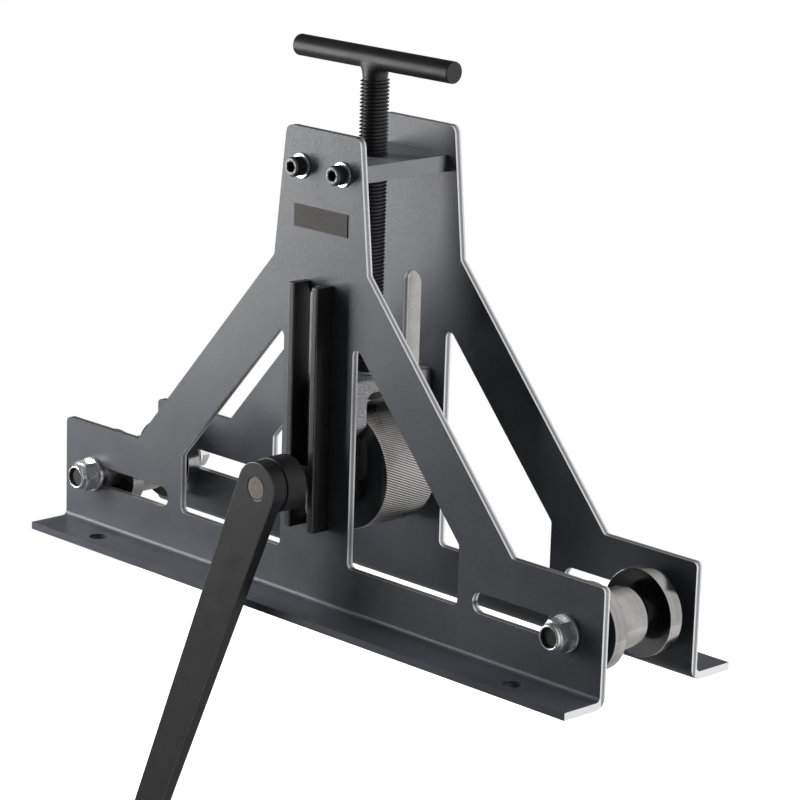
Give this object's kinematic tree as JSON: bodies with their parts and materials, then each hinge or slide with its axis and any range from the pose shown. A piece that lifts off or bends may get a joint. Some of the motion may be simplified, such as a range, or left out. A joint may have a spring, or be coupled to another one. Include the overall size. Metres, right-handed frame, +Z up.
{
  "type": "ring roller",
  "caption": "Bench-mounted hand-cranked ring roller: two flanged side plates, a knurled drive roller fed by a T-handled screw, and lower rollers on axles that slide in slots.",
  "frame": {"origin": "centre of the four base holes, on the underside of the flanges", "axes": "+X along the side plates, -Y towards the crank side, +Z up along the feed screw"},
  "size_m": [0.649, 0.328, 0.7148],
  "materials": {
    "plate_paint": "satin dark grey powder coat",
    "bridge_paint": "satin grey paint",
    "black_oxide": "satin black oxide",
    "screw_black": "oiled black oxide",
    "zinc": "bright zinc plate",
    "turned_steel": "bright turned steel",
    "cast_grey": "hammered grey paint on a casting",
    "shaft_steel": "sawn and ground steel",
    "bronze": "turned bronze",
    "grip_rubber": "matt black plastic",
    "name_plate_metal": "bare dark anodised plate"
  },
  "bodies": {
    "frame": {"front_plate": "plate_paint", "rear_plate": "plate_paint", "bridge_block": "bridge_paint", "bridge_screws": "black_oxide", "bridge_washers": "zinc", "name_plate": "name_plate_metal", "front_left_guide_bar": "black_oxide", "front_right_guide_bar": "black_oxide", "rear_left_guide_bar": "black_oxide", "rear_right_guide_bar": "black_oxide"},
    "carriage": {"yoke": "cast_grey", "front_shaft_bush": "bronze", "rear_shaft_bush": "bronze"},
    "screw": {"lead_screw": "screw_black", "t_handle": "screw_black", "thrust_collar": "black_oxide", "thrust_washer": "zinc", "lock_collar": "black_oxide", "lock_pin": "shaft_steel"},
    "crank": {"drive_shaft": "shaft_steel", "drive_roller": "turned_steel", "roller_key": "shaft_steel", "crank_hub": "black_oxide", "hub_key": "shaft_steel", "crank_arm": "black_oxide", "rear_collar": "black_oxide", "collar_set_screw": "black_oxide", "grip_bolt": "zinc", "grip_nut": "zinc", "grip_washer": "zinc"},
    "crank_grip": {"grip": "grip_rubber"},
    "left_axle": {"left_axle_bolt": "zinc", "left_axle_nut": "zinc", "left_axle_washers": "zinc", "left_axle_tube": "shaft_steel", "left_front_ring": "shaft_steel", "left_rear_ring": "shaft_steel"},
    "left_front_disc_body": {"left_front_disc": "turned_steel"},
    "left_core_body": {"left_core_roller": "turned_steel", "left_core_bush": "bronze"},
    "left_rear_disc_body": {"left_rear_disc": "turned_steel"},
    "right_axle": {"right_axle_bolt": "zinc", "right_axle_nut": "zinc", "right_axle_washers": "zinc", "right_axle_tube": "shaft_steel", "right_front_ring": "shaft_steel", "right_rear_ring": "shaft_steel"},
    "right_front_disc_body": {"right_front_disc": "turned_steel"},
    "right_core_body": {"right_core_roller": "turned_steel", "right_core_bush": "bronze"},
    "right_rear_disc_body": {"right_rear_disc": "turned_steel"}
  },
  "joints": [
    {"name": "yoke_feed", "type": "slide", "parent": "frame", "child": "carriage", "axis": [0, 0, 1], "range_m": [-0.029, 0.147]},
    {"name": "screw_turn", "type": "hinge", "parent": "carriage", "child": "screw", "pos_m": [0, 0, 0.2], "axis": [0, 0, 1], "range_deg": [-3480, 17640]},
    {"name": "crank_spin", "type": "hinge", "parent": "carriage", "child": "crank", "pos_m": [0, 0, 0.1144], "axis": [0, 1, 0], "continuous": true},
    {"name": "grip_spin", "type": "hinge", "parent": "crank", "child": "crank_grip", "pos_m": [-0.14848, -0.17, -0.23539], "axis": [0, 1, 0], "continuous": true},
    {"name": "left_axle_slide", "type": "slide", "parent": "frame", "child": "left_axle", "axis": [1, 0, 0], "range_m": [0, 0.093]},
    {"name": "left_front_disc_spin", "type": "hinge", "parent": "left_axle", "child": "left_front_disc_body", "pos_m": [-0.28715, 0, 0.0524], "axis": [0, 1, 0], "continuous": true},
    {"name": "left_core_spin", "type": "hinge", "parent": "left_axle", "child": "left_core_body", "pos_m": [-0.28715, 0, 0.0524], "axis": [0, 1, 0], "continuous": true},
    {"name": "left_rear_disc_spin", "type": "hinge", "parent": "left_axle", "child": "left_rear_disc_body", "pos_m": [-0.28715, 0, 0.0524], "axis": [0, 1, 0], "continuous": true},
    {"name": "right_axle_slide", "type": "slide", "parent": "frame", "child": "right_axle", "axis": [1, 0, 0], "range_m": [-0.093, 0]},
    {"name": "right_front_disc_spin", "type": "hinge", "parent": "right_axle", "child": "right_front_disc_body", "pos_m": [0.28715, 0, 0.0524], "axis": [0, 1, 0], "continuous": true},
    {"name": "right_core_spin", "type": "hinge", "parent": "right_axle", "child": "right_core_body", "pos_m": [0.28715, 0, 0.0524], "axis": [0, 1, 0], "continuous": true},
    {"name": "right_rear_disc_spin", "type": "hinge", "parent": "right_axle", "child": "right_rear_disc_body", "pos_m": [0.28715, 0, 0.0524], "axis": [0, 1, 0], "continuous": true}
  ],
  "couplings": [
    {"joint": "screw_turn", "follows": "yoke_feed", "rad_per_m": 2094.4}
  ]
}
